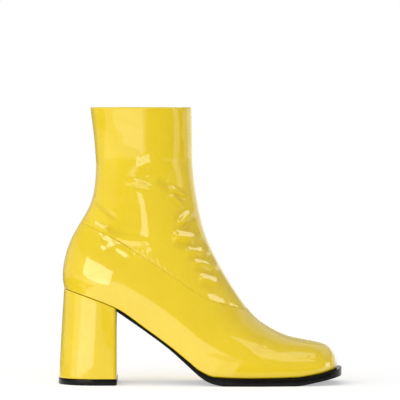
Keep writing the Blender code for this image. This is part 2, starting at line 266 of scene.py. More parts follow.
# Creases in the side view. Each runs through three points; outer and inner are how strongly
# it shows on the two sides of the foot.
CreaseRow = namedtuple("CreaseRow", "name x0 z0 x1 z1 x2 z2 half_width depth outer inner")
TROUGHS = [
    CreaseRow("ankle fold", -65.0, 168.6, -56.0, 167.6, -46.0, 165.2, 1.9, 0.16, 1.0, 0.7),
    CreaseRow("ankle valley", -37.8, 173.4, -31.1, 170.1, -22.7, 163.3, 4.5, 0.5, 1.0, 0.5),
    CreaseRow("back ankle", -93.0, 157.0, -80.4, 147.0, -67.5, 138.0, 2.2, 0.55, 1.0, 0.8),
    CreaseRow("vamp flex", 55.0, 45.0, 50.5, 35.0, 47.0, 25.0, 4.5, 0.22, 1.0, 0.6),
]
RIDGES = [
    CreaseRow("pocket lip", -59.5, 174.8, -50.4, 170.6, -38.5, 165.8, 1.8, 0.48, 1.0, 0.5),
    CreaseRow("heel star 1", -92.0, 137.0, -84.0, 132.4, -74.5, 127.0, 3.0, 0.6, 1.0, 0.6),
    CreaseRow("heel star 2", -81.0, 134.5, -77.3, 128.9, -74.0, 122.5, 2.2, 0.5, 1.0, 0.4),
    CreaseRow("star centre", -83.0, 128.5, -76.0, 125.5, -70.0, 119.5, 3.8, 0.7, 1.0, 0.4),
    CreaseRow("heel star 3", -84.0, 115.8, -78.2, 119.6, -72.0, 124.0, 2.8, 0.55, 1.0, 0.4),
    CreaseRow("above the seam", -77.0, 130.5, -62.2, 123.2, -41.0, 122.4, 3.0, 0.7, 1.0, 0.5),
    CreaseRow("below the seam", -72.0, 118.0, -64.7, 113.7, -56.5, 108.5, 2.4, 0.4, 1.0, 0.5),
    CreaseRow("shin 1", -27.5, 168.0, -19.5, 163.6, -8.0, 157.5, 2.0, 1.0, 1.0, 0.6),
    CreaseRow("shin 2", -26.0, 161.6, -20.6, 156.6, -12.5, 149.5, 2.0, 1.0, 1.0, 0.5),
    CreaseRow("instep 1", -6.0, 147.5, -13.0, 140.5, -20.0, 133.0, 3.5, 1.5, 1.0, 0.6),
    CreaseRow("instep 2", -25.0, 125.6, -13.0, 124.8, 1.5, 120.5, 4.4, 1.6, 1.0, 0.8),
    CreaseRow("instep 3", -14.5, 113.6, -3.4, 112.6, 9.0, 108.6, 4.0, 1.15, 1.0, 0.7),
    CreaseRow("instep 4", -8.0, 104.0, 3.4, 101.8, 17.0, 96.5, 3.6, 1.15, 1.0, 0.7),
    CreaseRow("instep 5", -2.0, 90.8, 7.6, 88.4, 19.5, 82.5, 3.6, 0.95, 1.0, 0.6),
    CreaseRow("instep 6", 2.5, 73.9, 11.8, 71.2, 23.0, 65.0, 3.4, 0.4, 1.0, 0.5),
]
# Dents are hollows that open out towards the front; spread is how much they do so
DentRow = namedtuple("DentRow", "name x z reach_back reach_front reach_z spread depth outer inner")
DENTS = [
    DentRow("ankle pocket", -45.0, 176.0, 19.0, 32.0, 8.6, 0.75, 1.5, 1.0, 0.5),
    DentRow("ankle spot", -48.0, 189.5, 9.0, 9.0, 5.5, 0.0, 0.2, 1.0, 0.4),
    DentRow("shin pocket", -13.5, 188.6, 11.0, 12.0, 8.0, 0.0, 0.6, 1.0, 0.4),
]
NARROWEST = 0.15  # of a dent's width, at its back end
SHOULDER_HEIGHT = 0.1  # raised lips beside a trough, as a share of its depth
SHOULDER_PLACE = 2.0  # their distance from its middle, in half widths
SHOULDER_WIDE = 0.95
RIDGE_SHADE = 0.35  # painted shade: how much darker the colour is along the foot of a ridge
RIDGE_FOOT = 1.5  # and how far out that lies, in half widths
CREASE_FADE = 0.3  # share of a crease's length over which each end dies out
CENTRE_EASE = 8.0  # the sides' strengths blend within this far from the centre plane

# Colours of the materials
PATENT_LIGHT = (0.83, 0.605, 0.012)
PATENT_DEEP = (0.80, 0.575, 0.010)
# Painted shade: the colour that creases, ridge feet, the seam and the lower rim darken towards
PATENT_FOLD_SHADE = (0.57, 0.38, 0.0065)
FOLD_SHADE_SHARE = 0.7  # how much of that painted shade a full fold takes
KNIT_LIGHT = (0.66, 0.56, 0.30)
KNIT_DEEP = (0.50, 0.41, 0.19)
SOLE_BLACK = (0.002, 0.0018, 0.0017)
SOLE_SCUFF = (0.008, 0.0075, 0.007)
SOCK_LIGHT = (0.60, 0.50, 0.30)
SOCK_DEEP = (0.46, 0.37, 0.20)
FLOOR_LIGHT = (0.89, 0.89, 0.905)
FLOOR_DEEP = (0.87, 0.87, 0.885)
FELT_LIGHT = (0.24, 0.24, 0.24)
FELT_DEEP = (0.20, 0.20, 0.20)
WHITE = (1.0, 1.0, 1.0, 1.0)

# Floor and light from all round
FLOOR_HALF = 6.0
FLOOR_GLOW = 0.42
FILL_FROM = (-0.55, -0.766, 0.33)  # way to the brighter side of the light from all round
BRIGHT_FILL = 1.58
DIM_FILL = 0.25  # on the whole far side
MIRRORED_FILL = 0.22  # light from all round as reflections see it from in front
BACKDROP = 0.60  # and from the pale wall behind the boot
BACKDROP_FROM = (0.75, 0.60, 0.28)
BACKDROP_SPAN = (-1.0, 0.7)

# Places on the boot that the lights are set for, in millimetres
AIMS = {
    "collar": (-55.0, -31.0, 210.0),
    "ankle": (-52.0, -30.0, 150.0),
    "counter": (-88.0, -27.0, 92.0),
    "star": (-84.0, -28.0, 134.0),
    "heel": (-90.0, -30.0, 40.0),
    "shin": (-18.0, -20.0, 200.0),
    "instep": (0.0, -25.0, 110.0),
    "toe": (75.0, -32.0, 28.0),
    "toe tip": (113.0, -18.0, 22.0),
    "ankle blob": (-48.0, -31.0, 189.0),
    "pocket floor": (-50.0, -30.0, 173.0),
}
# Pieces that a light falls on
ON_SHAFT = (SHAFT_PIECE,)
ON_FOOT = (FOOT_PIECE,)
ON_BOTH = (SHAFT_PIECE, FOOT_PIECE)
ON_HEEL = (HEEL_PIECE, LIFT_PIECE)
ON_PATENT = (SHAFT_PIECE, FOOT_PIECE, HEEL_PIECE)
ON_ALL = (SHAFT_PIECE, FOOT_PIECE, HEEL_PIECE, LIFT_PIECE, SOLE_PIECE, SOCK_PIECE)

# Lights that only reflections see; azimuth 0 is the camera's side, negative to the left
LightRow = namedtuple("LightRow", "name aim azimuth elevation distance width height roll radiance lit")
LIGHTS = [  # degrees and metres
    LightRow("front_strip", "ankle", -1.0, 2.0, 0.6, 0.053, 0.058, 0.0, 3.5, ON_SHAFT),
    LightRow("left_panel", "collar", -20.0, -9.0, 0.7, 0.54, 0.10, 0.0, 0.35, ON_SHAFT),
    LightRow("blob_spot", "ankle blob", 4.0, -4.8, 1.0, 0.10, 0.09, 0.0, 3.5, ON_SHAFT),
    LightRow("pocket_high", "pocket floor", 11.0, 26.0, 1.2, 0.34, 0.29, 0.0, 3.0, ON_SHAFT),
    LightRow("left_softbox", "counter", -28.0, 6.8, 0.25, 0.26, 0.13, -20.0, 4.8, ON_FOOT),
    LightRow("left_wall", "ankle", -84.0, 4.0, 1.5, 2.8, 1.2, 0.0, 0.4, ON_PATENT),
    LightRow("star_light", "star", -60.0, 37.0, 1.0, 0.73, 0.17, 0.0, 4.0, ON_SHAFT),
    LightRow("heel_softbox", "heel", -35.0, 4.0, 0.25, 0.21, 0.11, 0.0, 1.5, ON_HEEL),
    LightRow("heel_spill", "heel", -45.0, 4.0, 0.25, 0.34, 0.11, 0.0, 0.9, ON_HEEL),
    LightRow("right_strip", "shin", 64.0, -2.0, 1.5, 0.46, 0.40, 0.0, 1.3, ON_SHAFT),
    LightRow("right_rim", "shin", 142.0, 0.0, 1.5, 2.0, 0.8, 0.0, 1.0, ON_BOTH),
    LightRow("right_softbox", "instep", 67.0, 41.0, 1.5, 1.66, 0.38, 9.0, 3.9, ON_SHAFT),
    LightRow("vamp_panel", "toe", 130.0, 46.0, 1.5, 1.26, 0.86, 0.0, 0.5, ON_FOOT),
    LightRow("slanted_strip", "toe", 15.7, 38.7, 0.118, 0.052, 0.078, -66.5, 1.7, ON_FOOT),
    LightRow("toe_overhead", "toe", 50.1, 64.1, 2.0, 0.98, 0.14, 50.7, 1.8, ON_FOOT),
    LightRow("tip_softbox", "toe tip", 70.0, -1.0, 0.06, 0.036, 0.036, 0.0, 3.4, ON_FOOT),
]
# Soft light on the side away from the camera, which reflections don't see
BACK_LIGHT = LightRow("back_fill", "ankle", 180.0, 12.0, 2.0, 1.0, 1.0, 0.0, 7.0, ON_ALL)

# Lit stretches of the table, and dark cards on it to the right and the left, in metres
CARD_RISE = 0.001
GlowRow = namedtuple("GlowRow", "name left right far near radiance lit")
GLOWS = [
    GlowRow("near_glow", -0.3, 0.004, -0.135, -0.05, 1.1, ON_FOOT),
    GlowRow("end_glow", 0.004, 0.026, -0.135, -0.05, 0.6, ON_FOOT),
    GlowRow("middle_glow", -0.45, -0.03, -0.4, -0.135, 1.1, ON_BOTH),
    GlowRow("far_glow", -0.8, -0.03, -1.5, -0.4, 1.0, ON_BOTH),
    GlowRow("seam_glow", -0.3, -0.03, -0.80, -0.40, 1.2, ON_SHAFT),
    GlowRow("soft_glow", -1.2, -0.03, -3.0, -1.5, 0.5, ON_FOOT),
    GlowRow("tip_glow", 0.118, 0.26, -0.11, -0.025, 1.2, ON_FOOT),
]
CardRow = namedtuple("CardRow", "name left right far near")
DARK_CARDS = [
    CardRow("right_card", 0.026, 3.0, -3.0, -0.06),
    CardRow("left_card", -6.0, -0.25, -0.3, 6.0),
]


# Curves through tables


def smooth_curve(knots, values):
    """A function through the table's points that never overshoots them (monotone cubic)."""
    knots = np.asarray(knots, float)
    values = np.asarray(values, float)
    steps = np.diff(knots)
    slopes = np.diff(values) / steps
    tangents = np.zeros(len(knots))
    tangents[0], tangents[-1] = slopes[0], slopes[-1]
    for i in range(1, len(knots) - 1):
        left, right = slopes[i - 1], slopes[i]
        if left * right > 0:
            w0, w1 = 2 * steps[i] + steps[i - 1], steps[i] + 2 * steps[i - 1]
            tangents[i] = (w0 + w1) / (w0 / left + w1 / right)

    def curve(x):
        x = np.asarray(x, float)
        i = np.clip(np.searchsorted(knots, x, side="left") - 1, 0, len(steps) - 1)
        h = steps[i]
        t = np.clip((x - knots[i]) / h, 0.0, 1.0)
        beyond = x - knots[i] - t * h
        a = (1 + 2 * t) * (1 - t) ** 2 * values[i] + t * (1 - t) ** 2 * h * tangents[i]
        b = t * t * (3 - 2 * t) * values[i + 1] + t * t * (t - 1) * h * tangents[i + 1]
        return a + b + beyond * np.where(beyond > 0, tangents[i + 1], tangents[i])

    return curve


def column(rows, name):
    return [getattr(row, name) for row in rows]


def table_curve(rows, key, name):
    return smooth_curve(column(rows, key), column(rows, name))


def along_line(rows):
    """x and z as functions of the length run along a centre line, and the run at a height."""
    x, z = np.array(column(rows, "x")), np.array(column(rows, "z"))
    runs = np.concatenate([[0.0], np.cumsum(np.hypot(np.diff(x), np.diff(z)))])
    return smooth_curve(runs, x), smooth_curve(runs, z), smooth_curve(z, runs), runs[-1]


def smoothstep(low, high, x):
    t = np.clip((np.asarray(x, float) - low) / (high - low), 0.0, 1.0)
    return t * t * (3 - 2 * t)


def quarter(share, square):
    """Rises from 0 to 1 like a quarter of a round (2) or squarer (more) arc."""
    t = np.clip(share, 0.0, 1.0)
    return (1 - (1 - t) ** square) ** (1 / square)


seat = table_curve(SEAT, "x", "z")
underside = table_curve(UNDERSIDE, "x", "z")
front_x, front_z, front_run, front_length = along_line(FRONT_LINE)
back_x, back_z, back_run, back_length = along_line(BACK_LINE)
SEAM_FRONT_RUN = float(front_run(SEAM_FRONT_Z))
SEAM_BACK_RUN = float(back_run(SEAM_BACK_Z))
FOOT_TOP = [row for row in FRONT_LINE[::-1] if row.x >= INSTEP_TOP_X]
ridge = table_curve(FOOT_TOP, "x", "z")
leg_half = table_curve(LEG, "z", "half_width")
leg_fullest = table_curve(LEG, "z", "fullest")
shin = table_curve(FRONT_LINE, "z", "x")
calf = table_curve(BACK_LINE, "z", "x")
plan = {name: table_curve(PLAN, "x", name) for name in PlanRow._fields[1:]}


# The boot's outside, as in the CAD model


def outline(x, side, grow=0.0, grow_toe=0.0):
    """Half width of the sole's edge at x on one side, grown all round by a margin."""
    wide = plan["sole_" + side](x) + grow
    toe = quarter((TOE_TIP_X + grow_toe - x) / TOE_ROUND, TOE_SQUARE)
    heel = quarter((x - HEEL_BACK_X + grow) / HEEL_ROUND, HEEL_SQUARE)
    return wide * toe * heel


def ring_ends(level):
    """Back and front points of a ring round the boot; level 0 sole edge, 1 seam, 2 collar."""
    if level <= 1:
        back, front = SEAM_BACK_RUN * level, SEAM_FRONT_RUN * level
    else:
        back = SEAM_BACK_RUN + (back_length - SEAM_BACK_RUN) * (level - 1)
        front = SEAM_FRONT_RUN + (front_length - SEAM_FRONT_RUN) * (level - 1)
    return (back_x(back), back_z(back)), (front_x(front), front_z(front))


def ring_height(level, x, back, front):
    """Height of a ring at x: low rings follow the arch of the sole, high ones are flat."""
    u = (x - back[0]) / (front[0] - back[0])
    flat = back[1] + (front[1] - back[1]) * u
    arched = flat + seat(x) - (seat(back[0]) + (seat(front[0]) - seat(back[0])) * u)
    return arched + (flat - arched) * smoothstep(*ARCH_FADES, level)


def half_width(level, side, x, z, back, front):
    """Half width of the boot at points of its side view."""
    rise = z - seat(x)
    tuck = np.sin(np.clip(rise / plan["full_rise"](x), 0.0, 1.0) * math.pi / 2)
    edge, body = plan["sole_" + side](x), plan["body_" + side](x)
    above = np.maximum(rise - plan["full_rise"](x), 0.0)
    body = body - BODY_LEAN * above * above / (above + LEAN_EASE)
    share = rise / np.maximum(ridge(x) - seat(x), 1.0)
    lean = np.clip((share - DOME_START) / (1 - DOME_START), 0.0, 1.0)
    square = INSTEP_SQUARE + (DOME_SQUARE - INSTEP_SQUARE) * smoothstep(*INSTEP_EASE, x)
    dome = (1 - lean**square) ** (1 / square)
    toe = quarter((TOE_TIP_X - x) / TOE_ROUND, TOE_SQUARE)
    edge = edge * quarter((x - back[0]) / HEEL_ROUND, HEEL_SQUARE)
    body = body * quarter((x - back[0]) / COUNTER_ROUND, HEEL_SQUARE)
    foot = (edge + (body - edge) * tuck) * dome * toe
    low = calf(z) + back[0] - calf(back[1])
    high = shin(z) + front[0] - shin(front[1])
    skew = math.log(0.5) / np.log(leg_fullest(z))
    u = np.clip((x - low) / (high - low), 0.0, 1.0) ** skew
    leg = leg_half(z) * (1 - np.abs(2 * u - 1) ** LEG_SQUARE) ** (1 / LEG_SQUARE)
    return foot + (leg - foot) * smoothstep(*LEG_BLEND, level)


def side_points(level, side, sign, turn):
    """Points on one side of a ring; turn runs from 0 at the back to pi at the front."""
    back, front = ring_ends(level)
    x = back[0] + (front[0] - back[0]) * (1 - np.cos(turn)) / 2
    z = ring_height(level, x, back, front)
    return np.stack([x, sign * half_width(level, side, x, z, back, front), z], axis=-1)


def boot_ring(level):
    """Closed ring of nearly evenly spaced points: along the outer side, then back along the inner."""
    fine = np.linspace(0.0, math.pi, 4 * AROUND + 1)
    halves = []
    for side, sign in (("outer", -1), ("inner", 1)):
        walked = side_points(level, side, sign, fine)
        lengths = np.linalg.norm(np.diff(walked, axis=0), axis=1)
        run = np.concatenate([[0.0], np.cumsum(lengths)])
        even = EVEN_SHARE * run / run[-1] + (1 - EVEN_SHARE) * fine / math.pi
        turn = np.interp(np.linspace(0.0, 1.0, AROUND + 1), even, fine)
        halves.append(side_points(level, side, sign, turn))
    outer, inner = halves
    return np.concatenate([outer[:-1], inner[:0:-1]])


def boot_grid(levels):
    return np.array([boot_ring(level) for level in levels])


def grid_normals(grid):
    """Outward normals of a grid of rings, low to high."""
    around = np.roll(grid, -1, axis=1) - np.roll(grid, 1, axis=1)
    upward = np.gradient(grid, axis=0)
    normals = np.cross(around, upward)
    return normals / np.linalg.norm(normals, axis=2, keepdims=True)


def run_from(grid, row):
    """Length along the columns of a grid, measured from one of its rows."""
    steps = np.linalg.norm(np.diff(grid, axis=0), axis=2)
    run = np.concatenate([np.zeros((1, grid.shape[1])), np.cumsum(steps, axis=0)])
    return np.abs(run - run[row])


# Creases


def path_distance(points, row):
    """Distance of side-view points to a crease's curve, and the share of its length there."""
    t = np.linspace(0.0, 1.0, CREASE_STEPS + 1)[:, None]
    a, m, b = (np.array(p) for p in ((row.x0, row.z0), (row.x1, row.z1), (row.x2, row.z2)))
    bend = 2 * m - (a + b) / 2
    path = (1 - t) ** 2 * a + 2 * t * (1 - t) * bend + t**2 * b
    nearest = np.full(points.shape[:-1], np.inf)
    share = np.zeros(points.shape[:-1])
    for i in range(len(path) - 1):
        leg = path[i + 1] - path[i]
        along = np.clip(((points - path[i]) @ leg) / (leg @ leg), 0.0, 1.0)
        apart = np.linalg.norm(points - path[i] - along[..., None] * leg, axis=-1)
        closer = apart < nearest
        nearest = np.where(closer, apart, nearest)
        share = np.where(closer, (i + along) / (len(path) - 1), share)
    return nearest, share


def side_strength(grid, row):
    """A crease's strength by the side of the boot, easing over the centre line."""
    inward = smoothstep(-CENTRE_EASE, CENTRE_EASE, grid[..., 1])
    return row.outer + (row.inner - row.outer) * inward


def fade(share):
    """1 along the middle of a crease, easing to 0 at its ends."""
    return smoothstep(0.0, CREASE_FADE, share) * smoothstep(1.0, 1 - CREASE_FADE, share)


def crease_depths(grid):
    """How far each point moves out along its normal, and how much painted shade its colour gets in
    troughs and along the feet of ridges.
    """
    flat = grid[..., [0, 2]]
    out = np.zeros(grid.shape[:2])
    fold = np.zeros(grid.shape[:2])
    for row in TROUGHS:
        distance, share = path_distance(flat, row)
        across = distance / row.half_width
        trough = np.exp(-(across**2))
        lips = np.exp(-(((across - SHOULDER_PLACE) / SHOULDER_WIDE) ** 2))
        shape = SHOULDER_HEIGHT * lips - trough
        strength = row.depth * fade(share) * side_strength(grid, row)
        out += shape * strength
        # painted shade deepens the colour along the trough
        fold += trough * strength
    for row in RIDGES:
        distance, share = path_distance(flat, row)
        across = distance / row.half_width
        strength = row.depth * fade(share) * side_strength(grid, row)
        out += np.exp(-(across**2)) * strength
        # painted shade along the foot of the ridge
        shade = np.exp(-(((across - RIDGE_FOOT) / SHOULDER_WIDE) ** 2))
        fold += RIDGE_SHADE * shade * strength
    for row in DENTS:
        along = flat[..., 0] - row.x
        strength = smoothstep(-row.reach_back, 0.0, along) * smoothstep(row.reach_front, 0.0, along)
        spread = np.clip(1 + row.spread * along / row.reach_back, NARROWEST, 1.0)
        across = (flat[..., 1] - row.z) / (row.reach_z * spread)
        out -= row.depth * strength * np.exp(-(across**2)) * side_strength(grid, row)
    return out, fold


def seam_depth(grid):
    """How far the leather is drawn in at the seam, for each column of a grid."""
    apart = (grid[..., 0] - DEEPER_AT_X) / DEEPER_REACH
    return SEAM_DEPTH + SEAM_DEEPER * np.exp(-(apart**2))


def roll_in(distance, width, depth):
    """An edge that rolls inwards over a width, as a quarter round of that depth."""
    t = np.clip(1 - distance / width, 0.0, 1.0)
    return -depth * (1 - np.sqrt(1 - np.minimum(t, ROLL_LIMIT) ** 2))


# Meshes


def new_piece(name, vertices, faces, materials, slots=None, shade=None):
    """Mesh object from points in millimetres. shade is a 0..1 amount of painted shade for each point,
    kept as its fold attribute.
    """
    mesh = bpy.data.meshes.new(name)
    placed = (np.asarray(vertices).reshape(-1, 3) + CENTRE_SHIFT) * MM
    mesh.from_pydata(placed.tolist(), [], [list(map(int, f)) for f in faces])
    for material in materials:
        mesh.materials.append(material)
    if slots is not None:
        mesh.polygons.foreach_set("material_index", np.asarray(slots, np.int32))
    if shade is not None:
        # painted shade for the patent's colour
        attribute = mesh.attributes.new("fold", "FLOAT", "POINT")
        attribute.data.foreach_set("value", np.asarray(shade, np.float32).ravel())
    mesh.shade_smooth()
    mesh.update()
    piece = bpy.data.objects.new(name, mesh)
    bpy.context.scene.collection.objects.link(piece)
    return piece


def strip_faces(rows, columns, close_rows, close_columns=True):
    """Quads of a grid of points; either way round may close on itself."""
    faces = []
    for r in range(rows if close_rows else rows - 1):
        up = (r + 1) % rows
        for c in range(columns if close_columns else columns - 1):
            right = (c + 1) % columns
            faces.append((r * columns + c, r * columns + right, up * columns + right, up * columns + c))
    return faces


def settle(piece, node):
    """Puts a piece in the place of its CAD node."""
    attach(piece, BODY)
    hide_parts(node)
    return piece


def wall_piece(name, outside, normals, moved, fold, wall, top_rows, materials, hem):
    """Closed wall: outside rows upwards, a top edge, the lining downwards, and the lower rim.

    hem is how far the outer material runs down inside, in millimetres.
    """
    outer = outside + normals * moved[..., None]
    picks = np.unique(np.linspace(0, len(outside) - 1, LINING_ROWS).astype(int))
    near_top = np.arange(len(outside) - TOP_ROWS, len(outside))
    picks = np.unique(np.concatenate([picks, near_top]))[::-1]
    inner = (outside - normals * wall + normals * moved[..., None])[picks]
    rows = np.concatenate([outer, top_rows, inner])
    columns = rows.shape[1]
    faces = strip_faces(len(rows), columns, close_rows=True)
    depth_inside = run_from(outside, len(outside) - 1)[picks].mean(axis=1)
    lined = np.zeros(len(rows), int)
    lined[len(outer) + len(top_rows):] = depth_inside >= hem
    slots = np.repeat(lined, columns)
    shade = np.zeros((len(rows), columns))
    # painted shade on the outside only
    shade[: len(outer)] = np.clip(fold, 0.0, 1.0)
    return new_piece(name, rows, faces, materials, slots, shade)


def seam_spacing(low, high, rows, end):
    """Levels between two values, packed closely towards one end for the seam's roll."""
    if end == "high":
        coarse = np.linspace(low, high - SEAM_BAND, rows)
        return np.concatenate([coarse, np.linspace(high - SEAM_BAND, high, SEAM_ROWS)[1:]])
    fine = np.linspace(low, low + SEAM_BAND, SEAM_ROWS)
    crowded = np.linspace(0.0, 1.0, rows)[1:] ** ROWS_CROWD
    return np.concatenate([fine, low + SEAM_BAND + (high - low - SEAM_BAND) * crowded])


def puckers(grid, distance):
    """Small gathers along the seam that die out away from it."""
    walked = np.concatenate([[0.0], np.cumsum(np.linalg.norm(np.diff(grid, axis=0), axis=1))])
    sway = PUCKER_SWAY * np.sin(walked / PUCKER_SWAY_RUN)
    wave = np.sin(2 * math.pi * walked / PUCKER_PITCH + sway)
    return PUCKER_DEPTH * wave[None, :] * np.exp(-((distance / PUCKER_REACH) ** 2))


def make_upper(patent, lining):
    """The foot, from the sole's edge to the slanting seam."""
    grid = boot_grid(seam_spacing(0.0, 1.0, FOOT_ROWS, "high"))
    normals = grid_normals(grid)
    from_seam = run_from(grid, len(grid) - 1)
    from_sole = run_from(grid, 0)
    creased, fold = crease_depths(grid)
    rolled = roll_in(from_seam, SEAM_ROLL, seam_depth(grid))
    rolled = rolled + roll_in(from_sole, RIM_ROLL, RIM_DEPTH)
    moved = creased + rolled + puckers(grid[-1], from_seam) * FOOT_PUCKER
    # painted shade: creases, plus darkening where the leather rolls into the seam and at the lower rim
    shade = fold - rolled
    no_top = np.zeros((0, grid.shape[1], 3))
    materials = [patent, lining]
    piece = wall_piece(FOOT_PIECE, grid, normals, moved, shade, UPPER_WALL, no_top, materials, 0.0)
    return settle(piece, "upper")


def make_shaft(patent, lining):
    """The leg, from the seam to the turned edge of the collar."""
    first = 1.0 + SEAM_CLEAR / SEAM_LEVEL_LENGTH
    turned = 2.0 - 0.5 * SHAFT_WALL / COLLAR_LEVEL_LENGTH
    grid = boot_grid(seam_spacing(first, turned, SHAFT_ROWS, "low"))
    normals = grid_normals(grid)
    from_seam = run_from(grid, 0)
    creased, fold = crease_depths(grid)
    rolled = roll_in(from_seam, SEAM_ROLL, seam_depth(grid))
    moved = creased + rolled + puckers(grid[0], from_seam)
    middle = grid[-1] - normals[-1] * SHAFT_WALL / 2
    reach = boot_ring(2.0) - grid[-1]
    turns = np.linspace(0.0, math.pi, COLLAR_STEPS + 1)[1:-1]
    top = np.array(
        [middle + normals[-1] * SHAFT_WALL / 2 * math.cos(a) + reach * math.sin(a) for a in turns]
    )
    # painted shade: creases, plus darkening where the leather rolls into the seam
    shade = fold - rolled
    materials = [patent, lining]
    piece = wall_piece(SHAFT_PIECE, grid, normals, moved, shade, SHAFT_WALL, top, materials, HEM_DEEP)
    return settle(piece, "shaft")


def rounded_section(outer, inner, top, bottom, radius, across):
    """Section across a plate as (y, z) points, with round edges, from the bottom's outer end."""
    r = min(radius, ROUND_LIMITS[0] * (top - bottom), ROUND_LIMITS[1] * (outer + inner))
    turns = np.linspace(0.0, math.pi / 2, CORNER_STEPS + 1)
    low = [(-outer + r - r * math.sin(a), bottom + r - r * math.cos(a)) for a in turns]
    high = [(-outer + r - r * math.cos(a), top - r + r * math.sin(a)) for a in turns]
    lid = np.linspace(-outer + r, inner - r, across + 1)
    top_run = [(y, top) for y in lid[1:-1]]
    high_in = [(inner - r + r * math.sin(a), top - r + r * math.cos(a)) for a in turns]
    low_in = [(inner - r + r * math.cos(a), bottom + r - r * math.sin(a)) for a in turns]
    base_run = [(y, bottom) for y in lid[::-1][1:-1]]
    return low + high + top_run + high_in + low_in + base_run


def plate(name, xs, section, materials, lift=None):
    """Closed plate from sections across it; lift moves points of the underside up."""
    rows = np.array([[(x, y, z) for y, z in section(x)] for x in xs])
    if lift is not None:
        rows[..., 2] += lift(rows)
    count = rows.shape[1]
    faces = [f[::-1] for f in strip_faces(len(rows), count, close_rows=False)]
    faces.append(tuple(range(count)))
    faces.append(tuple(range(len(rows) * count - 1, (len(rows) - 1) * count - 1, -1)))
    return new_piece(name, rows, faces, materials)


def stations(low, high, count):
    """Places along the boot, closer together near both ends."""
    middle, reach = (low + high) / 2, (high - low) / 2 - END_CLEAR
    turn = np.linspace(0.0, math.pi, count + 1)
    even = np.linspace(-1.0, 1.0, count + 1)
    return middle + reach * ((1 - END_CROWD) * even - END_CROWD * np.cos(turn))


def sole_edge(x):
    """How far the outsole stands out beyond the upper's lower edge."""
    return EDGE_SHANK + (EDGE_SIDE - EDGE_SHANK) * smoothstep(*EDGE_GROWS, x)


def ribs(x, y):
    """Depth of fine tread grooves that run across the boot in shallow waves."""
    swayed = x + TREAD_SWAY * np.sin(y / TREAD_SWAY_RUN)
    wave = np.cos(2 * math.pi * swayed / TREAD_PITCH)
    return TREAD_DEPTH * smoothstep(*GROOVE_SIDES, wave)


def make_outsole(rubber):
    """Outsole from the heel breast to the toe, with fine tread under the forefoot."""

    def section(x):
        edge = sole_edge(x)
        outer, inner = (float(outline(x, side, edge, EDGE_TOE)) for side in ("outer", "inner"))
        top, bottom = float(seat(x)), float(underside(x))
        return rounded_section(outer, inner, top, bottom, EDGE_ROUND, SOLE_ACROSS)

    def tread(rows):
        x, y, z = rows[..., 0], rows[..., 1], rows[..., 2]
        below = np.abs(z - underside(x)) < ON_FACE
        room_out = outline(x, "outer", sole_edge(x), EDGE_TOE) + y
        room_in = outline(x, "inner", sole_edge(x), EDGE_TOE) - y
        room = np.minimum(room_out, room_in)
        inside = smoothstep(TREAD_MARGIN, TREAD_MARGIN + TREAD_EASE, room)
        inside = inside * smoothstep(*TREAD_BACK, x) * smoothstep(*TREAD_FRONT, x)
        return np.where(below, ribs(x, y) * inside, 0.0)

    xs = stations(BREAST_X + GAP, TOE_TIP_X + EDGE_TOE, SOLE_STATIONS)
    return settle(plate(SOLE_PIECE, xs, section, [rubber], tread), "outsole")


def make_insole(sock):
    """Insole inside the upper, over heel seat, shank and forefoot."""
    inset = UPPER_WALL + 2 * GAP

    def section(x):
        outer, inner = (float(outline(x, side, -inset, -inset)) for side in ("outer", "inner"))
        bottom = float(seat(x)) + GAP
        top = bottom + INSOLE_THICK
        return rounded_section(outer, inner, top, bottom, INSOLE_ROUND, INSOLE_ACROSS)

    xs = stations(HEEL_BACK_X + inset, TOE_TIP_X - inset, INSOLE_STATIONS)
    return settle(plate(SOCK_PIECE, xs, section, [sock]), "insole")


def heel_outline(share, margin=0.0):
    """Outline of the heel block as (x, y); share 0 at the floor and 1 at the seat."""
    back = HEEL_BACK_X - HEEL_FLARE * (1 - share) - margin
    front = BREAST_X + margin
    half_count = HEEL_AROUND // 2
    turn = np.linspace(0.0, math.pi / 2, half_count + 1)[1:]
    even = turn / (math.pi / 2)
    crowded = 1 - np.cos(turn)
    spread = (1 - (1 - even) ** 2) * np.sqrt(even)
    x = back + (front - back) * (HEEL_ROUND_SHARE * crowded + (1 - HEEL_ROUND_SHARE) * spread)
    rounding = quarter((x - back) / HEEL_ROUND, HEEL_SQUARE)
    corner = quarter((front - x + BREAST_CLEAR) / BREAST_ROUND, 2.0)
    sides = {}
    for side, sign in (("outer", -1), ("inner", 1)):
        at_seat = plan["sole_" + side](x)
        at_floor = HEEL_FOOT_HALF - HEEL_TAPER * (x - back) / (front - back)
        half = at_floor + (at_seat - at_floor) * share + margin
        rounded = half - BREAST_ROUND * (1 - corner)
        sides[side] = np.stack([x, sign * rounded * rounding], axis=-1)
    return np.concatenate([[(back, 0.0)], sides["outer"], sides["inner"][::-1]])


def shrunk(points, amount):
    """Outline drawn in towards its middle by a share of its size."""
    middle = np.array([(points[:, 0].min() + points[:, 0].max()) / 2, 0.0])
    return middle + (points - middle) * (1 - amount)


def lidded(rows):
    """Faces of stacked loops with both ends closed."""
    count = rows.shape[1]
    faces = strip_faces(len(rows), count, close_rows=False)
    faces.append(tuple(range(count))[::-1])
    faces.append(tuple(range((len(rows) - 1) * count, len(rows) * count)))
    return faces


